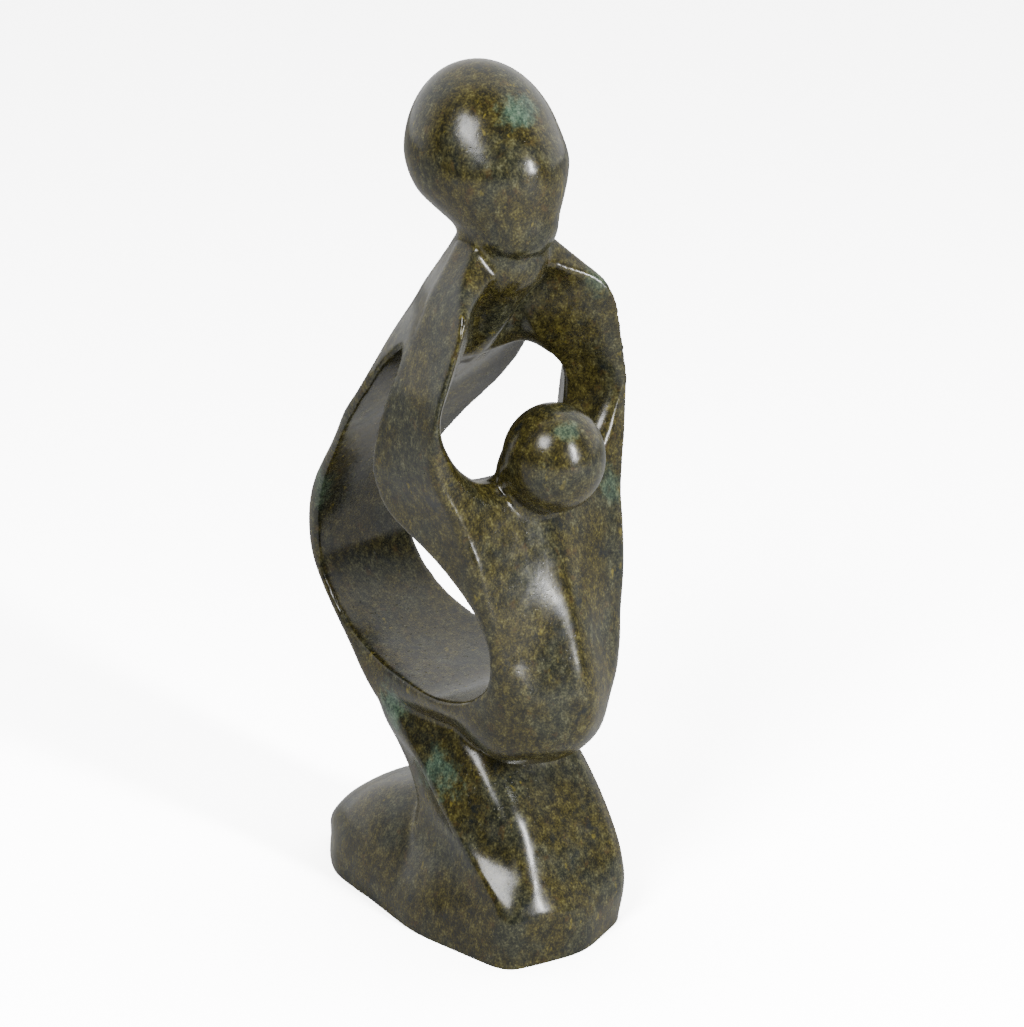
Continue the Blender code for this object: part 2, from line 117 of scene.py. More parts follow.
def even_outline(points, count=200, closed=True):
    """Points at equal distances along a smooth curve through the given ones.

    The curve's key grows by the square root of each chord, which keeps it from looping at short chords.
    """
    points = np.array(points, float)
    if closed:
        points = np.concatenate([points[-3:], points, points[:4]])
    else:
        points = np.concatenate([2 * points[:1] - points[1:2], points, 2 * points[-1:] - points[-2:-1]])
    key = np.concatenate([[0], np.cumsum(np.sqrt(np.linalg.norm(np.diff(points, axis=0), axis=1)))])
    first, last = (3, len(points) - 4) if closed else (1, len(points) - 2)
    curve = between_rows(np.column_stack([key, points]), np.linspace(key[first], key[last], CURVE_POINTS))
    length = np.concatenate([[0], np.cumsum(np.linalg.norm(np.diff(curve, axis=0), axis=1))])
    even = np.linspace(0, length[-1], count + 1)[: count if closed else count + 1]
    return np.column_stack([np.interp(even, length, curve[:, k]) for k in range(points.shape[1])])


def heights_of(rows, step):
    """Even heights from the lowest to the highest row of a table, about `step` apart."""
    low, high = min(row[0] for row in rows), max(row[0] for row in rows)
    return np.linspace(low, high, int(round((high - low) / step)) + 1)


print("halfway between 0 and 10:", between_rows([(0, 0), (1, 10)], np.array([0.5])))

# %% [markdown]
# ## From outlines to a closed solid
#
# Every rough form below is a grid of points: ring after ring, each with the same number of points. The
# grid's cells are the faces, and one face closes each end. The signed volume tells whether the faces look
# outwards, and if they don't we turn them round, so that cutting and joining work later.

# %% Solids from a grid of rings
workshop = bpy.data.collections.new("rough forms")
bpy.context.scene.collection.children.link(workshop)
print("the rough forms go into the collection", workshop.name)


def solid_of(name, rings):
    """A closed solid from rings of points, with a flat face over the first and the last ring.

    Cell (i, j) lies between rings i and i + 1 and between their points j and j + 1.
    """
    rings = np.asarray(rings, float)
    count, around = rings.shape[:2]
    i, j = np.meshgrid(np.arange(count - 1), np.arange(around), indexing="ij")
    after = (j + 1) % around
    quads = np.stack([i * around + j, i * around + after, (i + 1) * around + after, (i + 1) * around + j], -1)
    points = rings.reshape(-1, 3)
    quads = quads.reshape(-1, 4)
    ends = [np.arange(around)[::-1], (count - 1) * around + np.arange(around)]
    middle = points.mean(axis=0)
    a, b, c, d = (points[quads[:, k]] - middle for k in range(4))
    volume = np.einsum("ij,ij->", a, np.cross(b, c)) + np.einsum("ij,ij->", a, np.cross(c, d))
    faces = [tuple(face) for face in quads.tolist()] + [tuple(end.tolist()) for end in ends]
    if volume < 0:
        faces = [face[::-1] for face in faces]
    mesh = bpy.data.meshes.new(name)
    mesh.from_pydata(points.tolist(), [], faces)
    obj = bpy.data.objects.new(name, mesh)
    workshop.objects.link(obj)
    print(name, "has", len(points), "points")
    return obj


# %% [markdown]
# ## The block: back, shoulders, arms and the child's body
#
# Seen from above, the carving is the same on both sides down to the lap. Each level outline has a back edge,
# an edge behind the arm, a front corner and a soft ridge down the middle of the front. The back is drawn in
# a little between its edges, as it is on the real one.

# %% Level outlines of the block
# Columns: height; side and forward of the back edge; forward of the middle of the back; side and forward of
# the edge behind the arm or the child; side and forward of the front corner; forward of the front's middle.
BODY_LEVELS = [
    (336, 9, 6, 4, 12, 15, 12, 20, 24),
    (326, 13, 4, 0, 20, 14, 20, 25.5, 28),
    (312, 20, -1.5, -9, 30.5, 14, 34, 33, 34),
    (304, 24.5, -4.5, -15, 37, 14, 40.5, 41, 41),
    (296, 28, -7, -21, 41, 14, 44, 44.5, 44.5),
    (280, 38, -12, -30, 46, 10, 49.5, 45.5, 45.5),
    (266, 44, -17.5, -36, 50.5, 5, 53.5, 43.5, 45),
    (253, 45, -26.5, -44, 53, 2, 56, 40.5, 44),
    (241, 44.5, -36.5, -54, 55, -1, 56.5, 39.5, 44),
    (229, 41.5, -46, -63, 56, -3, 54.5, 41.5, 45),
    (217, 37.2, -57, -74, 54, -2, 50, 45.5, 48),
    (205, 34.2, -67.7, -83, 51.5, 6, 46.5, 49, 53.5),
    (194, 32, -76.3, -91, 48, 24, 44.5, 52.8, 57.3),
    (182, 30, -83, -96, 45, 42.5, 43.4, 55.4, 61.8),
    (170, 28.5, -86.5, -99, 42, 53, 42, 57.8, 66.2),
    (150, 28, -84, -97, 39.5, 55, 40, 60, 72.5),
    (139, 28.5, -76.5, -92, 38, 54, 40, 62, 75.8),
    (126, 30.5, -62, -82, 36.5, 50, 39.5, 62.5, 78),
    (118, 33, -50, -74, 35.5, 42, 38, 60.5, 78),
    (110, 34.5, -41, -63, 34, 30, 37, 58.5, 76),
    (103, 33.5, -36, -54, 29, 20, 35.5, 57, 72.5),
    (96, 30.5, -33, -46, 21, 10, 32, 53, 66.5),
    (90, 24, -28, -37, 13, 4, 26, 46.5, 58),
]
# Share of the fall from the ridge down the middle of the front to its corners that starts at the ridge
# itself, by height. 0 gives a round front with no ridge, 1 two flat faces, and more than 1 two faces that
# are a little hollow. The ridge itself is rounded over a share of the half width.
FRONT_RIDGE = [(336, 0.5), (232, 0.5), (208, 1.4), (129, 1.4), (112, 0.9), (90, 0.9)]
FRONT_RIDGE_ROUNDING = 0.16
# How far along the outline the rounding of the front corner reaches, by height.
CORNER_ROUNDING = [
    (336, 1), (229, 2), (205, 4), (182, 6), (160, 8), (145, 12), (132, 20), (118, 28), (103, 26), (90, 18),
]
POINTS_A_SIDE = 40
# Distance between two level outlines of the rough forms, in millimetres.
LEVEL_STEP = 1.6


def block_ring(height, row, ridge, rounding):
    """One level outline: a half of it runs from the back's middle to the front's middle, then it is mirrored.

    The back is a parabola, the side is two straight runs, and the front falls from its ridge as a mix of a
    rounded straight line and a cube. The corner is the curve
    (1 - t)^2 * start + 2 * t * (1 - t) * corner + t^2 * end.
    """
    back_side, back, back_middle, side, behind, corner_side, corner, front = row
    part = np.linspace(0, 1, POINTS_A_SIDE, endpoint=False)
    back_line = np.column_stack([part * back_side, back + (back_middle - back) * (1 - part**2)])
    edge = np.array([(back_side, back), (side, behind), (corner_side, corner)])
    first = edge[0] + (edge[1] - edge[0]) * part[:, None]
    second = edge[1] + (edge[2] - edge[1]) * part[:, None]
    turned = np.linspace(1, 0, 2 * POINTS_A_SIDE)
    rounded = np.hypot(turned, FRONT_RIDGE_ROUNDING) - FRONT_RIDGE_ROUNDING
    straight = ridge * rounded / (np.hypot(1, FRONT_RIDGE_ROUNDING) - FRONT_RIDGE_ROUNDING)
    fall = straight + (1 - ridge) * turned**3
    front_line = np.column_stack([turned * corner_side, front - (front - corner) * fall])
    half = np.concatenate([back_line, first, second, front_line])
    length = np.concatenate([[0], np.cumsum(np.linalg.norm(np.diff(half, axis=0), axis=1))])
    at = length[3 * POINTS_A_SIDE]
    start, end = (
        np.array([np.interp(at + k, length, half[:, c]) for c in (0, 1)]) for k in (-rounding, rounding)
    )
    t = ((length - at) / (2 * rounding) + 0.5)[:, None]
    bend = (1 - t) ** 2 * start + 2 * t * (1 - t) * edge[2] + t * t * end
    half = np.where((t > 0) & (t < 1), bend, half)
    ring = np.concatenate([half, half[-2:0:-1] * (-1, 1)])
    return place(ring[:, 0], ring[:, 1], height)


heights = heights_of(BODY_LEVELS, LEVEL_STEP)
ridges, roundings = (between_rows(rows, heights)[:, 0] for rows in (FRONT_RIDGE, CORNER_ROUNDING))
levels = zip(heights, between_rows(BODY_LEVELS, heights), ridges, roundings)
block = solid_of("rough_block", [block_ring(*level) for level in levels])

# %% [markdown]
# ## The opening through the side
#
# Between the mother's back and her arms the stone is cut right through. The cutter is lofted from one side
# to the other through three upright outlines: in the middle plane, inside, and at the side. Inside it
# reaches lower at the neck and leaves the child's back full.

# %% Cutter for the side opening
SIDE_OPENING_AT_SIDE = [
    (2, 286), (-6.5, 277), (-11, 266), (-30, 241), (-50.5, 217), (-67.5, 194), (-77, 172), (-76.5, 152),
    (-67.5, 139), (-54, 128), (-36, 120.5), (-12, 116), (12, 115), (33, 120), (46, 127), (54.5, 136),
    (57, 149), (55, 162), (45, 177), (28, 190.5), (12, 199), (1, 207), (-3, 219), (-2, 238), (1, 256),
    (3, 273),
]
SIDE_OPENING_INSIDE = [
    (2, 277), (-7, 270), (-13, 263), (-31, 241), (-52, 217), (-69, 194), (-78.5, 172), (-78, 151),
    (-69, 138), (-55, 127), (-36, 120), (-12, 115.5), (12, 114.5), (32, 120), (44, 127.5), (52, 137),
    (54, 150), (51, 163), (41.5, 178), (27, 191), (14, 202), (9, 210), (12, 222), (19, 242), (18, 259),
    (9, 272),
]
SIDE_OPENING_MIDDLE = [
    (0, 266), (-10, 259.5), (-20, 251), (-34, 240), (-54, 216.5), (-71, 194), (-80, 172), (-80, 151),
    (-71, 137), (-56, 126), (-37, 119), (-12, 115), (12, 114.5), (30, 121), (39, 131), (44, 142),
    (46, 155), (43, 168), (35.5, 180), (25, 191), (15, 203), (11, 212), (15, 224), (20, 242), (17, 260),
    (10, 270),
]
SIDE_OPENING_STATIONS = (0, 36, 52)
# The cutter sticks out on both sides, and has one outline a millimetre.
CUTTER_REACH = 70
outlines = [even_outline(o) for o in (SIDE_OPENING_MIDDLE, SIDE_OPENING_INSIDE, SIDE_OPENING_AT_SIDE)]
stations = [(-SIDE_OPENING_STATIONS[1], *outlines[1].reshape(-1))]
stations += [(side, *outline.reshape(-1)) for side, outline in zip(SIDE_OPENING_STATIONS, outlines)]
sides = np.linspace(-CUTTER_REACH, CUTTER_REACH, 2 * CUTTER_REACH + 1)
rings = between_rows(stations, np.minimum(np.abs(sides), SIDE_OPENING_STATIONS[-1]))
rings = rings.reshape(len(sides), -1, 2)
side_opening = solid_of(
    "side_opening", [place(side, ring[:, 0], ring[:, 1]) for side, ring in zip(sides, rings)]
)

# %% [markdown]
# ## The opening between the arms
#
# Seen from the front, the arms leave an opening above the child's head that narrows like a funnel. Its
# walls are the insides of the arms and the top of the child's body. It runs out into the side opening.

# %% Cutter for the front opening
# Columns: forward, then half an outline as side and height, from its lowest to its highest point.
FRONT_OPENING = [
    (80, ((0, 195), (20, 195), (45, 198), (58, 206), (68, 216), (75, 226), (80, 240), (82, 254), (80, 270),
          (76, 284), (70, 298), (62, 312), (50, 328), (0, 346))),
    (48, ((0, 216), (14, 216), (25, 216), (34, 218), (42.5, 222), (50, 228), (56, 236), (62, 247), (64, 259),
          (60, 271), (53, 284), (46, 297), (38, 312), (0, 328))),
    (38, ((0, 223), (12, 223), (22, 223.5), (30, 225.5), (36.5, 230), (41.5, 235), (46, 242), (49.5, 250),
          (50, 260), (45.5, 271), (40, 283), (35, 296), (29, 308), (0, 320))),
    (27, ((0, 221), (12, 221), (21, 221.5), (29, 224), (35, 229), (39, 234), (43, 241), (45, 249),
          (43, 258), (38, 267), (28, 281), (23, 296), (17, 307), (0, 314))),
    (18, ((0, 216.5), (12, 217), (20, 218.5), (27, 222), (32, 228), (35.5, 234), (37.5, 241), (38, 249),
          (35, 257), (31, 264), (19, 280), (14, 292), (9, 301), (0, 305))),
    (6, ((0, 209), (12, 210), (20, 212), (27, 216), (33, 223), (36, 232), (38, 241), (38, 249),
         (36, 256), (30, 262), (22, 267), (15, 270), (8, 271), (0, 271))),
    (-4, ((0, 212), (12, 213), (20, 215), (26, 219), (31, 225), (34, 233), (35, 241), (35, 248),
          (33, 253), (28, 257), (20, 260), (14, 261), (7, 262), (0, 262))),
]
rows = []
for forward, half in FRONT_OPENING:
    rows.append((forward, *even_outline(list(half) + [(-x, z) for x, z in reversed(half[1:-1])]).reshape(-1)))
FRONT_SECTIONS = 84
forwards = np.linspace(FRONT_OPENING[-1][0], FRONT_OPENING[0][0], FRONT_SECTIONS)
rings = between_rows(rows, forwards).reshape(len(forwards), -1, 2)
front_opening = solid_of(
    "front_opening", [place(ring[:, 0], f, ring[:, 1]) for f, ring in zip(forwards, rings)]
)

# %% [markdown]
# ## Folded legs and the base
#
# Below the lap the two sides differ: on the mother's right the stone is cut back to a facet, bordered by a
# ridge from her hip down to the corner of the base. Here each level outline is nine corners joined by
# straight runs, and each corner is rounded by its own radius.

# %% Level outlines of the legs
# Columns: height, then side and forward of: the ridge, the middle of the facet beside it, the edge where the
# front facet starts, left front, left side, left back, middle back, right back, right side.
LEG_LEVELS = [
    (113, (-34, -35), (-29, -22), (-24, -10), (9, 10), (22, -6), (26, -36),
     (0, -53), (-28, -42), (-34, -41)),
    (108, (-33.5, -30), (-28.2, -16), (-23, -2), (12, 30), (26, 0), (28, -36),
     (0, -53), (-29, -41), (-34, -38)),
    (100, (-33.5, -23.5), (-27.7, -7.5), (-21.9, 8.5), (16, 40), (28, 5), (28, -35),
     (0, -47), (-29, -37), (-33, -32)),
    (88, (-33.8, -10.5), (-27.3, 7.3), (-20.9, 25.2), (26, 42), (30, 10), (28, -31),
     (0, -38), (-28, -34), (-31, -26)),
    (76, (-34.2, 2.5), (-27.7, 20.3), (-21.3, 38.2), (33, 44), (32, 12), (27, -26),
     (0, -32), (-26, -29), (-28.5, -14)),
    (62, (-34.7, 16.5), (-28.2, 34), (-21.5, 51.2), (35, 52.8), (34, 18), (27, -20),
     (0, -27), (-25, -21), (-28.5, -2)),
    (48, (-35.5, 33), (-28.8, 45), (-21.5, 58.5), (34.9, 62), (37, 22), (29, -14),
     (0, -20), (-27, -15), (-30.5, 5)),
    (36, (-36.7, 50), (-29.5, 59.6), (-20.5, 67), (34.9, 67.5), (39.5, 22), (32, -18),
     (0, -24), (-30.5, -18), (-35, 8)),
    (30, (-37.2, 57.5), (-30.8, 66), (-18, 71.5), (34.8, 69), (41, 20), (33.5, -24),
     (0, -33), (-32.5, -24), (-38, 9)),
    (24, (-38, 63.5), (-31, 69.8), (-12, 75.5), (35, 69.7), (43, 18), (35.5, -30),
     (0, -43), (-35.5, -30), (-41.5, 10)),
    (19, (-38.7, 65.5), (-30, 70.7), (-6, 77.2), (35.1, 69.3), (44.5, 16), (37.5, -35),
     (0, -51), (-37.5, -35), (-44, 11)),
    (11, (-39.3, 66.3), (-29, 71), (-3, 77.5), (35.2, 67.7), (46, 14), (39.5, -41),
     (0, -59), (-40, -41), (-47.2, 12)),
    (0, (-40, 66.7), (-27.7, 71.3), (-1, 77.6), (34.6, 65.4), (46.5, 12), (41, -46),
     (0, -66), (-42, -46), (-49, 13)),
    (-8, (-40, 66.9), (-27.7, 71.5), (-1, 77.8), (34.6, 65), (46.5, 12), (41, -46),
     (0, -66), (-42, -46), (-49, 13)),
]
# Radius left on the ridge, by height, and on each of the other corners.
LEG_RIDGE_ROUNDING = [(113, 2), (36, 2), (28, 4), (18, 9), (-8, 12)]
LEG_CORNERS = (12, 10, 10, 30, 26, 40, 20, 12)
# A corner's rounding takes up no more than this share of the runs beside it, so that two never meet.
MOST_OF_RUN = 0.49
POINTS_A_CORNER = 15
POINTS_A_RUN = 10


def cornered_ring(height, corners, radii):
    """A level outline with rounded corners.

    Each corner is the curve (1 - t)^2 * start + 2 * t * (1 - t) * corner + t^2 * end, whose start and end
    lie a radius away along the two runs. Straight runs join them.
    """
    corners = np.array(corners, float)
    radii = np.array(radii, float)[:, None]
    before, after = np.roll(corners, 1, axis=0) - corners, np.roll(corners, -1, axis=0) - corners
    long_before, long_after = (np.linalg.norm(run, axis=1)[:, None] for run in (before, after))
    start = corners + before / long_before * np.minimum(radii, MOST_OF_RUN * long_before)
    end = corners + after / long_after * np.minimum(radii, MOST_OF_RUN * long_after)
    t = np.linspace(0, 1, POINTS_A_CORNER)[None, :, None]
    bends = (1 - t) ** 2 * start[:, None] + 2 * t * (1 - t) * corners[:, None] + t * t * end[:, None]
    s = np.linspace(0, 1, POINTS_A_RUN)[None, 1:-1, None]
    runs = end[:, None] * (1 - s) + np.roll(start, -1, axis=0)[:, None] * s
    ring = np.concatenate([bends, runs], axis=1).reshape(-1, 2)
    return place(ring[:, 0], ring[:, 1], height)


heights = heights_of(LEG_LEVELS, LEVEL_STEP)
flat_rows = [(row[0], *[value for point in row[1:] for value in point]) for row in LEG_LEVELS]
rings = between_rows(flat_rows, heights).reshape(len(heights), -1, 2)
ridges = between_rows(LEG_RIDGE_ROUNDING, heights)[:, 0]
levels = zip(heights, rings, ridges)
legs = solid_of("rough_legs", [cornered_ring(z, ring, (ridge, *LEG_CORNERS)) for z, ring, ridge in levels])

# %% [markdown]
# ## Feet behind
#
# Her feet are tucked under her, as a low rounded lobe that runs back along the ground. Upright cross
# sections from the heels to the toes describe it best.

# %% Cross sections of the feet
# Columns: forward, half width at the ground, half width higher up, height of the middle, height of the sides.
FEET_SECTIONS = [
    (18, 44.5, 24, 48, 33),
    (0, 45, 25, 51, 35),
    (-20, 44.5, 26, 52, 36.5),
    (-39, 43.5, 26.5, 48.5, 35.5),
    (-58, 40, 26, 41, 29),
    (-71, 32.5, 23.5, 32.5, 22.5),
    (-80, 25.5, 19.5, 24.5, 15.5),
    (-86, 20, 15, 17, 10),
    (-89, 15, 10, 11, 6),
    (-90.5, 9, 6, 5, 2.5),
]
BELOW_GROUND = 8
FEET_STATIONS = 72


def feet_ring(forward, row):
    """One upright cross section: a smooth curve through thirteen points, and a straight line below ground.

    From the ground up, each point is a share of the widths and heights in the row: upright at the foot,
    then leaning in, then nearly level near the middle.
    """
    ground, upper, middle, sides = row
    half = [(ground, -BELOW_GROUND), (ground, 0), (ground * 0.97, sides * 0.4), (upper * 1.25, sides)]
    half += [(upper * 0.8, sides + (middle - sides) * 0.72), (upper * 0.35, middle * 0.985)]
    curve = even_outline(half + [(0, middle)] + [(-x, z) for x, z in reversed(half)], closed=False)
    return place(curve[:, 0], forward, curve[:, 1])


forwards = np.linspace(FEET_SECTIONS[-1][0], FEET_SECTIONS[0][0], FEET_STATIONS)
rows = between_rows(FEET_SECTIONS, forwards)
feet = solid_of("rough_feet", [feet_ring(f, row) for f, row in zip(forwards, rows)])

# %% [markdown]
# ## The mother's head
#
# An egg on its narrow end, leaning forward, with no features: only a soft upright ridge where the face
# would be. A profile turned round its axis gives the egg, and a bump in the radius gives the ridge.

# %% Egg-shaped head
# Columns: distance from the crown along the axis, radius.
HEAD_PROFILE = [
    (0, 0), (1, 7.2), (3.8, 13.9), (8, 19.8), (14, 25.2), (21.5, 29.6), (31, 32.9), (42, 33.9), (50, 33),
    (57, 29.8), (65, 25.1), (72.5, 20.9), (79, 18.6), (83, 16), (86.5, 11.8), (88.5, 5),
]
HEAD_CROWN = (-5.5, 398)
HEAD_CHIN = (20.5, 321)
# The narrow end is carried this much further forward, between these distances from the crown.
HEAD_BEND = 8.8
HEAD_BEND_FROM = 30
HEAD_BEND_TO = 74
# The face has no features, only a soft upright ridge down its middle. It stands in proportion to the head's
# radius, FACE_RIDGE for a radius of FACE_RIDGE_RADIUS. Its width is an angle, and it stands fully from a
# distance below the crown.
FACE_RIDGE = 2.2
FACE_RIDGE_RADIUS = 39
FACE_RIDGE_WIDTH = 0.42
FACE_RIDGE_FROM_CROWN = 40
HEAD_POINTS_AROUND = 144

profile = even_outline(HEAD_PROFILE, closed=False)
crown, chin = (np.array([0, *point], float) for point in (HEAD_CROWN, HEAD_CHIN))
down_axis = (chin - crown) / np.linalg.norm(chin - crown)
faceward = np.array([0, -down_axis[2], down_axis[1]]) * (1 if -down_axis[2] > 0 else -1)
turn = np.linspace(0, 2 * np.pi, HEAD_POINTS_AROUND, endpoint=False)
from_front = np.arctan2(np.sin(turn), np.cos(turn))
along, radius = profile[1:, 0:1], profile[1:, 1:2]
# Radius plus a bell-shaped ridge in front, that fades in below the crown.
bell = FACE_RIDGE * np.exp(-((from_front / FACE_RIDGE_WIDTH) ** 2))
reach = radius + bell * np.minimum(1, along / FACE_RIDGE_FROM_CROWN) * radius / FACE_RIDGE_RADIUS
share = np.clip((along - HEAD_BEND_FROM) / (HEAD_BEND_TO - HEAD_BEND_FROM), 0, 1)
bend = HEAD_BEND * share * share * (3 - 2 * share)
egg = (crown + along * down_axis + bend * faceward)[:, None] + (reach * np.cos(turn))[:, :, None] * faceward
egg = egg + (reach * np.sin(turn))[:, :, None] * np.array([1.0, 0, 0])
head = solid_of("rough_head", place(egg[..., 0], egg[..., 1], egg[..., 2]))

# %% [markdown]
# ## The two necks and the child's head
#
# The mother's neck runs down between the shoulders as a wedge. The child's head is a ball, a little higher
# than it is wide, on a short neck. All three are stacks of ovals.

# %% Necks and ball
# Columns: height, forward of its middle, half width, half depth.
NECK_LEVELS = [
    (338, 17, 21, 18),
    (330, 19, 20.5, 18),
    (322, 20.7, 19.5, 18),
    (314, 21.3, 18, 18),
    (306, 19.3, 16, 16.2),
    (298, 15, 13.5, 13),
    (290, 11, 11, 11.5),
    (280, 5, 8.5, 10),
    (270, -3, 6.5, 9),
    (262, -10, 5, 7.5),
]
CHILD_HEAD_HALF_WIDTH = 22.6
CHILD_HEAD_HALF_HEIGHT = 24.3
CHILD_HEAD = (53.5, 234)
CHILD_NECK = [
    (206, 36, 20, 16), (214, 40, 19.5, 17), (222, 44, 20, 19), (230, 48.5, 21.5, 21), (236, 51, 21, 21),
]
POINTS_AROUND = 96
BALL_LEVELS = 60
# The ball's first and last ring lie this far from its poles, as an angle, so that they are small caps.
POLE_GAP = 0.02


def stack_of_ovals(name, levels, step=1.5):
    """Ring point at angle a: half width * sin(a) to the side, middle + half depth * cos(a) forward."""
    heights = heights_of(levels, step)
    forward, wide, deep = between_rows(levels, heights).T[:, :, None]
    around = np.linspace(0, 2 * np.pi, POINTS_AROUND, endpoint=False)[None]
    return solid_of(name, place(wide * np.sin(around), forward + deep * np.cos(around), heights[:, None]))


neck = stack_of_ovals("rough_neck", NECK_LEVELS)
child_neck = stack_of_ovals("rough_child_neck", CHILD_NECK)
down = np.linspace(POLE_GAP, np.pi - POLE_GAP, BALL_LEVELS)[:, None]
around = np.linspace(0, 2 * np.pi, POINTS_AROUND, endpoint=False)[None]
child_head = solid_of("rough_child_head", place(
    CHILD_HEAD_HALF_WIDTH * np.sin(down) * np.sin(around),
    CHILD_HEAD[0] + CHILD_HEAD_HALF_WIDTH * np.sin(down) * np.cos(around),
    CHILD_HEAD[1] + CHILD_HEAD_HALF_HEIGHT * np.cos(down),
))

# %% [markdown]
# ## Cut and join
#
# The carver cuts away; we do the same with Boolean modifiers. Then the whole block is remeshed to an even
# grain, because the cuts leave long thin faces that polish badly. The grain is finer than the finished
# surface needs: a sharp edge on a coarse grain turns into little steps, and sanding has to take those away.

# %% Carve the stone
ROUGH_GRAIN = 0.75
FINE_GRAIN = 1.15


def settle(obj):
    """Replaces the object's mesh and modifiers by the mesh that they give."""
    graph = bpy.context.evaluated_depsgraph_get()
    made = bpy.data.meshes.new_from_object(obj.evaluated_get(graph), depsgraph=graph)
    obj.modifiers.clear()
    obj.data = made


for other, operation in (
    (side_opening, "DIFFERENCE"), (front_opening, "DIFFERENCE"), (legs, "UNION"), (feet, "UNION"),
    (neck, "UNION"), (head, "UNION"), (child_neck, "UNION"), (child_head, "UNION"),
):
    modifier = block.modifiers.new(other.name, "BOOLEAN")
    modifier.operation, modifier.solver, modifier.object = operation, "EXACT", other
settle(block)


def even_grain(obj, grain):
    """Gives the object a surface of nearly square faces, each about `grain` millimetres wide."""
    remesh = obj.modifiers.new("even grain", "REMESH")
    remesh.mode, remesh.voxel_size = "VOXEL", grain * MM
    settle(obj)
    print("at a grain of", grain, "mm the surface has", len(obj.data.polygons), "faces")


even_grain(block, ROUGH_GRAIN)

# %% [markdown]
# ## Sanding
#
# Sanding rounds every edge a little and evens out tool marks. A rub moves every point to the mean of its
# neighbours. Plain rubbing also eats thin rims, so in the second round each rub is followed by a push back
# of nearly the same size: fine marks go, forms stay. Between the two rounds the surface gets its final grain.

# %% Sand the surface


def read_mesh(mesh):
    """The mesh as arrays: its points, and the two ends of each of its edges."""
    points = np.empty(len(mesh.vertices) * 3)
    mesh.vertices.foreach_get("co", points)
    ends = np.empty(len(mesh.edges) * 2, int)
    mesh.edges.foreach_get("vertices", ends)
    return points.reshape(-1, 3), ends.reshape(-1, 2)


def mean_of_neighbours(points, ends):
    """For each point, the average of the points that an edge joins it to."""
    a, b = ends.T
    number = np.bincount(np.concatenate([a, b]), minlength=len(points))
    columns = [
        np.bincount(a, weights=points[b, k], minlength=len(points))
        + np.bincount(b, weights=points[a, k], minlength=len(points))
        for k in range(points.shape[1])
    ]
    return np.column_stack(columns) / number[:, None]


def sand(mesh, rubs, push_back):
    """Rubs the surface `rubs` times.

    Each rub moves every point half way to the mean of its neighbours. Then it moves the point away from
    their new mean by `push_back` of the distance to it.
    """
    points, ends = read_mesh(mesh)
    for _ in range(rubs):
        for amount in (0.5, -push_back):
            if amount:
                points = points + amount * (mean_of_neighbours(points, ends) - points)
    mesh.vertices.foreach_set("co", points.astype(np.float32).reshape(-1))
    mesh.update()


# Rubs before the surface gets its final grain, rubs after it with their push back, and last rubs without.
FIRST_RUBS = 12
SECOND_RUBS, PUSH_BACK = 6, 0.52
LAST_RUBS = 1
sand(block.data, FIRST_RUBS, 0.0)
even_grain(block, FINE_GRAIN)
sand(block.data, SECOND_RUBS, PUSH_BACK)
sand(block.data, LAST_RUBS, 0.0)

# %% [markdown]
# ## Sawn underside
#
# The block was roughed out a little too long below and then sawn flat, so that it stands. We cut the last
# millimetres off in the same way.

# %% Saw it flat and name the piece
SAW_REACH, SAW_DEPTH = 0.2, 0.1
saw_corners = [(x * SAW_REACH, y * SAW_REACH) for x, y in ((-1, -1), (1, -1), (1, 1), (-1, 1))]
saw_box = solid_of("saw_cut", [[(x, y, z) for x, y in saw_corners] for z in (-SAW_DEPTH, 0.0)])
saw = block.modifiers.new("saw", "BOOLEAN")
saw.operation, saw.solver, saw.object = "DIFFERENCE", "EXACT", saw_box
settle(block)
stone_piece = bpy.data.objects.new("carved_mother_and_child", block.data)
bpy.context.scene.collection.objects.link(stone_piece)
stone_piece.data.name = stone_piece.name
stone_piece.data.polygons.foreach_set("use_smooth", np.ones(len(stone_piece.data.polygons), bool))
for obj in list(workshop.objects):
    bpy.data.objects.remove(obj, do_unlink=True)
bpy.data.collections.remove(workshop)
triangles = sum(len(face.vertices) - 2 for face in stone_piece.data.polygons)
points, ends = read_mesh(stone_piece.data)
print("finished stone:", triangles, "triangles, from", points.min(axis=0), "to", points.max(axis=0))

# %% [markdown]
# ## The stone
#
# It is serpentine, sanded to a fine grit and rubbed with wax. To the eye that is a dark olive-brown ground
# speckled with ochre grains of about a millimetre, clouds of more yellow or more green a few centimetres
# wide, blue-black spots, yellow flecks and a few mint-green patches, all under a clear gloss. The pattern
# goes through the stone, so it reads Object coordinates. We first need a way to write nodes briefly.

# %% Helpers for the material


def linear(hex_colour):
    """An sRGB hex value as the linear colour that a shader wants."""
    value = np.array([int(hex_colour[k : k + 2], 16) for k in (0, 2, 4)]) / 255
    return (*np.where(value <= 0.04045, value / 12.92, ((value + 0.055) / 1.055) ** 2.4).tolist(), 1.0)


def add(tree, kind, inputs, out=0, **settings):
    """Adds a node with its settings and returns its output `out`.

    `inputs` fills its sockets with numbers, hex colours or the outputs of other nodes.
    """
    node = tree.nodes.new(kind)
    for name, value in settings.items():
        setattr(node, name, value)
    for socket, value in inputs.items():
        if isinstance(value, bpy.types.NodeSocket):
            tree.links.new(value, node.inputs[socket])
        else:
            node.inputs[socket].default_value = linear(value) if isinstance(value, str) else value
    return node.outputs[out]


serpentine = bpy.data.materials.new("wax polished serpentine")
serpentine.use_nodes = True
tree = serpentine.node_tree
shader = tree.nodes["Principled BSDF"]
spot = add(tree, "ShaderNodeTexCoord", {}, "Object")
print("mid grey 808080 is", round(linear("808080")[0], 3), "in linear light")

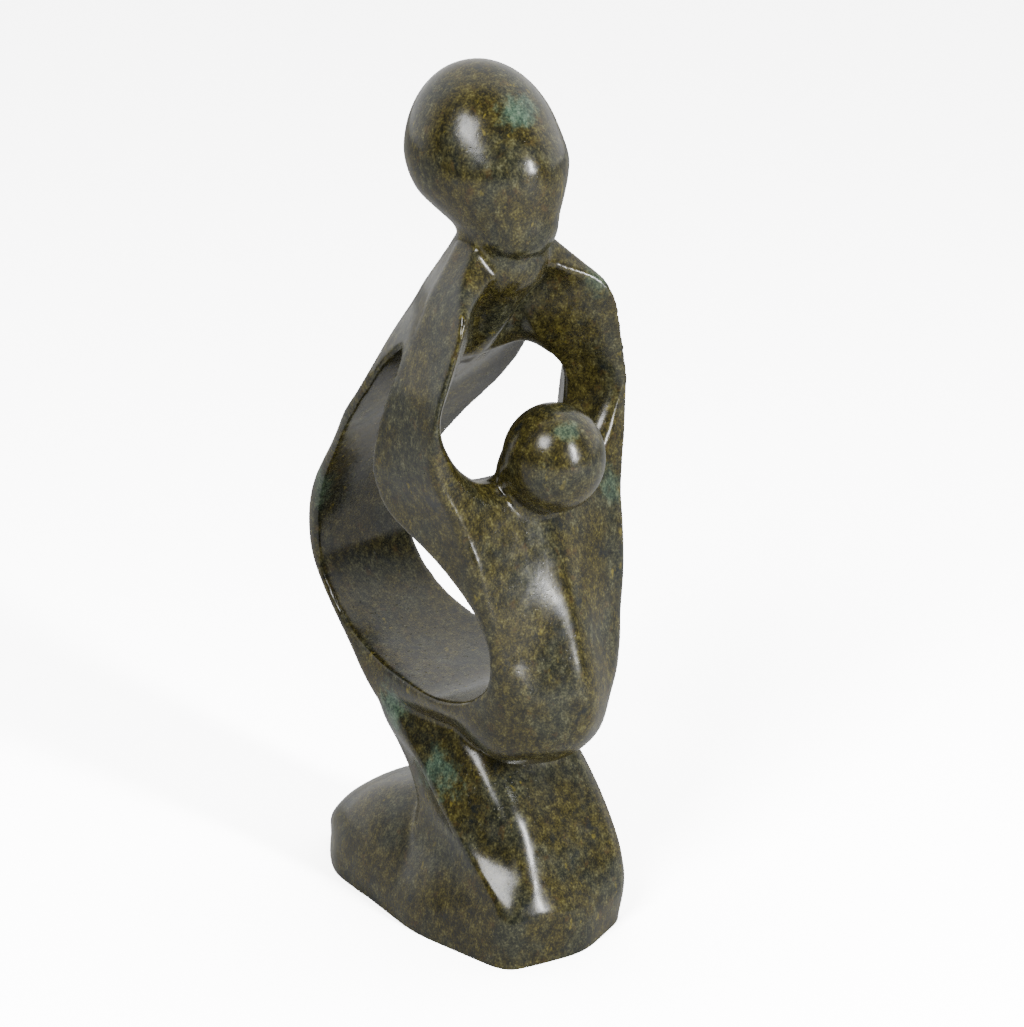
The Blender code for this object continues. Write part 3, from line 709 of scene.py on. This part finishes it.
# %% [markdown]
# ### The stone's grains
#
# A polished stone shows crystals and stains of many sizes at once. Each row below is one of them as a noise:
# how wide its grains are in millimetres, how ragged they are, whether they lie stretched along the stone's
# bedding, which stands upright in this block, and a shift, so that no two of them share their edges.

# %% Grains of the stone
# Columns: width in millimetres, detail, raggedness, stretch along side, forward and height, shift.
GRAINS = {
    "crystals": (0.95, 2.0, 0.62, (1, 1, 1.2), (0, 0, 0)),
    "mottle": (3.4, 3.0, 0.62, (1, 1, 1.4), (3, 1, 2)),
    "clouds": (22, 4.0, 0.6, (1, 1, 1.2), (7, 5, 1)),
    "rust": (5, 3.0, 0.65, (1, 1, 1.2), (2, 8, 4)),
    "dark spots": (11, 4.0, 0.62, (1, 1, 1), (1, 4, 9)),
    "yellow flecks": (4.6, 3.0, 0.6, (1, 1, 1.9), (5, 5, 5)),
    "fleck places": (34, 1.0, 0.5, (1, 1, 1), (4, 2, 6)),
    "patch edges": (6, 4.0, 0.65, (1, 1, 1), (6, 1, 3)),
    "wax": (7, 4.0, 0.6, (1, 1, 1), (9, 9, 2)),
    "pits": (1.7, 1.0, 0.5, (1.6, 1, 1), (8, 3, 3)),
    "sanding": (9, 2.0, 0.5, (1, 1, 1), (2, 3, 5)),
}
grain = {}
for name, (width, detail, ragged, stretch, shift) in GRAINS.items():
    inputs = {"Vector": spot, "Scale": [1 / s for s in stretch], "Location": shift}
    placed = add(tree, "ShaderNodeMapping", inputs)
    inputs = {"Vector": placed, "Scale": 1 / (width * MM), "Detail": detail, "Roughness": ragged}
    grain[name] = add(tree, "ShaderNodeTexNoise", inputs)
    print(name, "about", width, "mm wide")

# %% [markdown]
# ### Speckle and clouds
#
# Real serpentine is a felt of tiny crystals. The crystals and the mottle are added and pushed through a ramp
# from nearly black to light ochre. A second ramp is greener and greyer, and the clouds decide where the
# stone is more the one or the other.

# %% Ground colour
half = add(tree, "ShaderNodeMath", {0: grain["crystals"], 1: 0.5}, operation="MULTIPLY")
speckle = add(tree, "ShaderNodeMath", {0: grain["mottle"], 1: 0.5, 2: half}, operation="MULTIPLY_ADD")
TINTS = {
    "ochre": [(0.32, "13120b"), (0.43, "262311"), (0.5, "383318"), (0.57, "4b4520"), (0.68, "6b663a")],
    "green": [(0.32, "141613"), (0.43, "22241c"), (0.5, "323325"), (0.57, "444430"), (0.68, "63634a")],
    "mint": [(0.36, "2f4036"), (0.5, "4d6655"), (0.64, "748b78")],
}
tint = {}
for name, stops in TINTS.items():
    tint[name] = add(tree, "ShaderNodeValToRGB", {"Fac": speckle})
    ramp = tint[name].node.color_ramp
    while len(ramp.elements) < len(stops):
        ramp.elements.new(0.5)
    for element, (position, colour) in zip(ramp.elements, stops):
        element.position, element.color = position, linear(colour)
inputs = {"Value": grain["clouds"], "From Min": 0.42, "From Max": 0.64}
greener = add(tree, "ShaderNodeMapRange", inputs, interpolation_type="SMOOTHSTEP")
ground = add(tree, "ShaderNodeMix", {0: greener, 6: tint["ochre"], 7: tint["green"]}, 2, data_type="RGBA")
print("the stone has", len(tint), "ground tints")

# %% [markdown]
# ### Rust, dark spots and yellow flecks
#
# Iron has stained some grains rusty. Blue-black spots four to eight millimetres wide have soft, ragged
# edges, because they are clusters of dark crystals. The yellow flecks are longer than wide and all lie
# along the bedding. Each stain is laid over the ground only where its noise is above a level.

# %% Stains
# Columns: noise, where it starts and where it is full, how strong it is, its colour.
STAINS = [
    ("rust", 0.58, 0.72, 0.35, "553f1d"),
    ("dark spots", 0.585, 0.7, 0.75, "13191c"),
    ("yellow flecks", 0.62, 0.72, 0.6, "80742c"),
]
inputs = {"Value": grain["fleck places"], "From Min": 0.46, "From Max": 0.56}
fleck_places = add(tree, "ShaderNodeMapRange", inputs, interpolation_type="SMOOTHSTEP")
for name, start, full, strength, colour in STAINS:
    inputs = {"Value": grain[name], "From Min": start, "From Max": full, "To Max": strength}
    amount = add(tree, "ShaderNodeMapRange", inputs, interpolation_type="SMOOTHSTEP")
    if name == "yellow flecks":
        amount = add(tree, "ShaderNodeMath", {0: amount, 1: fleck_places}, operation="MULTIPLY")
    ground = add(tree, "ShaderNodeMix", {0: amount, 6: ground, 7: colour}, 2, data_type="RGBA")
    print("stained with", name, "in", colour)

# %% [markdown]
# ### Mint-green patches
#
# These sit at particular places on this block: on the head, on the child's head, in the hollow of the thigh,
# along the back of the hip, and two on the far side. Each is a soft ellipsoid with its edge broken up by
# noise. All are the stone's own colour except the one on the far side of the child's body, which is a painted
# reflection.
# The pitted areas below are described in the same way, so one list holds both.

# %% Green patches and pitted areas
# Columns: what it is; side, forward and height of the middle; half length along each; how strong it is.
PLACES = [
    ("green", (-3, 36, 384), (10, 8, 6), 0.8),
    ("green", (-6, 68, 252), (6, 6, 4), 0.5),
    ("green", (-30, -21, 97), (7, 7, 14), 0.75),
    ("green", (-28, 8, 73), (6, 12, 11), 0.75),
    ("green", (-32, -72, 190), (7, 6, 24), 0.45),
    # The next patch, on the far side of the child's body, is a painted reflection: green laid where that face
    # reflects green.
    ("green", (39, 49, 208), (6, 5, 9), 0.5),
    ("green", (38, 40, 304), (6, 5, 7), 0.4),
    ("pitted", (0, -30, 120), (34, 62, 26), 1.0),
    ("pitted", (-16, 30, 68), (18, 22, 16), 1.0),
]
broken = add(tree, "ShaderNodeMath", {0: grain["patch edges"], 1: 2.6, 2: -1.3}, operation="MULTIPLY_ADD")
amounts = {"green": 0.0, "pitted": 0.0}
for name, (side, forward, height), reach, strength in PLACES:
    scale = [1 / (length * MM) for length in reach]
    offset = [-m * s for m, s in zip(place(side, forward, height).tolist(), scale)]
    placed = add(tree, "ShaderNodeMapping", {"Vector": spot, "Scale": scale, "Location": offset})
    away = add(tree, "ShaderNodeVectorMath", {0: placed}, "Value", operation="LENGTH")
    away = add(tree, "ShaderNodeMath", {0: away, 1: broken}, operation="ADD")
    inputs = {"Value": away, "From Min": 0.3, "From Max": 1.45, "To Min": strength, "To Max": 0.0}
    here = add(tree, "ShaderNodeMapRange", inputs, interpolation_type="SMOOTHSTEP")
    amounts[name] = add(tree, "ShaderNodeMath", {0: amounts[name], 1: here}, operation="MAXIMUM")
ground = add(tree, "ShaderNodeMix", {0: amounts["green"], 6: ground, 7: tint["mint"]}, 2, data_type="RGBA")
tree.links.new(ground, shader.inputs["Base Color"])
print("laid", len(PLACES), "patches")

# %% [markdown]
# ### Polish, sanding marks and pits
#
# The gloss is even but not perfect: the wax lies a little thicker here and there, so the roughness varies.
# Tiny pits stayed where the chisel went deepest, in the floor of the lap and on the thigh, and everywhere
# a faint unevenness of the sanded surface breaks the highlights up.

# %% Polish and pits
STONE_IOR = 1.54
shader.inputs["IOR"].default_value = STONE_IOR
inputs = {"Value": grain["wax"], "From Min": 0.3, "From Max": 0.7, "To Min": 0.18, "To Max": 0.28}
tree.links.new(add(tree, "ShaderNodeMapRange", inputs), shader.inputs["Roughness"])
inputs = {"Value": grain["pits"], "From Min": 0.68, "From Max": 0.74, "To Max": 0.6}
pit = add(tree, "ShaderNodeMapRange", inputs, interpolation_type="SMOOTHSTEP")
inputs = {"Value": amounts["pitted"], "To Min": 0.12}
pit = add(tree, "ShaderNodeMath", {0: pit, 1: add(tree, "ShaderNodeMapRange", inputs)}, operation="MULTIPLY")
relief = add(tree, "ShaderNodeMath", {0: grain["sanding"], 1: 0.5}, operation="MULTIPLY")
relief = add(tree, "ShaderNodeMath", {0: grain["mottle"], 1: 0.16, 2: relief}, operation="MULTIPLY_ADD")
relief = add(tree, "ShaderNodeMath", {0: relief, 1: pit}, operation="SUBTRACT")
bump = add(tree, "ShaderNodeBump", {"Height": relief, "Distance": 0.25 * MM})
tree.links.new(bump, shader.inputs["Normal"])
print("the stone's material has", len(tree.nodes), "nodes")

stone_piece.data.materials.clear()
stone_piece.data.materials.append(serpentine)
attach(stone_piece, "root")
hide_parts("mother_and_child")

# %% [markdown]
# ## Floor
#
# The carving stands on a plain white sweep. It is only the stage, not part of the object. The photograph was
# exposed so that the paper is pure white, while little of it shows in the stone, so the paper is made paler
# where the camera sees it directly than where it lights the stone.

# %% Floor
floor_mesh = bpy.data.meshes.new("floor")
FLOOR_REACH = 6
floor_corners = [(x * FLOOR_REACH, y * FLOOR_REACH, 0) for x, y in ((-1, -1), (1, -1), (1, 1), (-1, 1))]
floor_mesh.from_pydata(floor_corners, [], [(0, 1, 2, 3)])
floor = bpy.data.objects.new("floor", floor_mesh)
bpy.context.scene.collection.objects.link(floor)
paper = bpy.data.materials.new("white paper sweep")
paper.use_nodes = True
paper_tree = paper.node_tree
paper_tree.nodes.remove(paper_tree.nodes["Principled BSDF"])
seen = add(paper_tree, "ShaderNodeLightPath", {}, "Is Camera Ray")
white = add(paper_tree, "ShaderNodeMapRange", {"Value": seen, "To Min": 0.5, "To Max": 9.0})
sweep = add(paper_tree, "ShaderNodeBsdfDiffuse", {"Color": white})
paper_tree.links.new(sweep, paper_tree.nodes["Material Output"].inputs["Surface"])
floor_mesh.materials.append(paper)
print("the floor reaches", FLOOR_REACH, "m each way")

# %% [markdown]
# ## Camera
#
# The photograph was taken from the front on the mother's right, 41 degrees round and 22 degrees up, from
# about 1.4 m. The lens follows from how the two sides of the base converge.

# %% Camera
import mathutils

AROUND, UP = np.radians(-41), np.radians(22)
# The photograph's focal length and its larger side in pixels, and the sensor's width in millimetres.
FOCAL_PIXELS, PHOTO_PIXELS, SENSOR = 2900, 1027, 36
# Where the camera stands, in metres to its right, up and back from the middle of the underside.
STAND = (0.01708, 0.17769, 1.376)
back = np.array([np.sin(AROUND) * np.cos(UP), -np.cos(AROUND) * np.cos(UP), np.sin(UP)])
right = np.array([np.cos(AROUND), np.sin(AROUND), 0])
upward = np.cross(back, right)
camera = bpy.data.objects.new("camera", bpy.data.cameras.new("camera"))
bpy.context.scene.collection.objects.link(camera)
camera.data.sensor_width, camera.data.lens = SENSOR, SENSOR * FOCAL_PIXELS / PHOTO_PIXELS
turned = np.eye(4)
turned[:3, 0], turned[:3, 1], turned[:3, 2] = right, upward, back
turned[:3, 3] = STAND[0] * right + STAND[1] * upward + STAND[2] * back
camera.matrix_world = mathutils.Matrix(turned.tolist())
bpy.context.scene.camera = camera
print("camera at", turned[:3, 3])

# %% [markdown]
# ## Light
#
# Two soft lights stand beside the camera: a large one high on its left, and a tall narrow one at its right.
# The highlights on the child's head tell where. The white sweep runs round behind the carving, and the room
# on the camera's side is dark, which is why the front of the stone looks so deep.

# %% Lights
LIGHT_DISTANCE = 1.7
LOOKS_AT = np.array([0, 0, 0.2])


def soft_light(name, direction, wide, high, power):
    """An area light in the direction (right, up, back) from the carving, turned to look at its middle."""
    light = bpy.data.lights.new(name, "AREA")
    light.shape, light.size, light.size_y, light.energy = "RECTANGLE", wide, high, power
    obj = bpy.data.objects.new(name, light)
    bpy.context.scene.collection.objects.link(obj)
    way = direction[0] * right + direction[1] * upward + direction[2] * back
    obj.location = LOOKS_AT + way / np.linalg.norm(way) * LIGHT_DISTANCE
    obj.rotation_euler = mathutils.Vector(way).to_track_quat("Z", "Y").to_euler()
    print(name, "of", power, "W,", wide, "by", high, "m")


soft_light("large soft light", (-0.33, 0.40, 0.84), 0.55, 0.55, 21)
soft_light("narrow soft light", (0.69, 0.06, 0.71), 0.11, 0.75, 32)

world = bpy.data.worlds.new("white room, dark behind the camera")
bpy.context.scene.world = world
world.use_nodes = True
room = world.node_tree
way = add(room, "ShaderNodeTexCoord", {}, "Generated")
away_from_camera = [-back[0] / np.cos(UP), -back[1] / np.cos(UP), 0.0]
facing = add(room, "ShaderNodeVectorMath", {0: way, 1: away_from_camera}, "Value", operation="DOT_PRODUCT")
inputs = {"Value": facing, "From Min": -0.3, "From Max": 0.3, "To Min": 0.05, "To Max": 1.3}
glow = add(room, "ShaderNodeMapRange", inputs, interpolation_type="SMOOTHSTEP")
room.links.new(glow, room.nodes["Background"].inputs["Strength"])
room.nodes["Background"].inputs["Color"].default_value = (1, 1, 1, 1)
print("the room is dark in the direction", -np.array(away_from_camera))
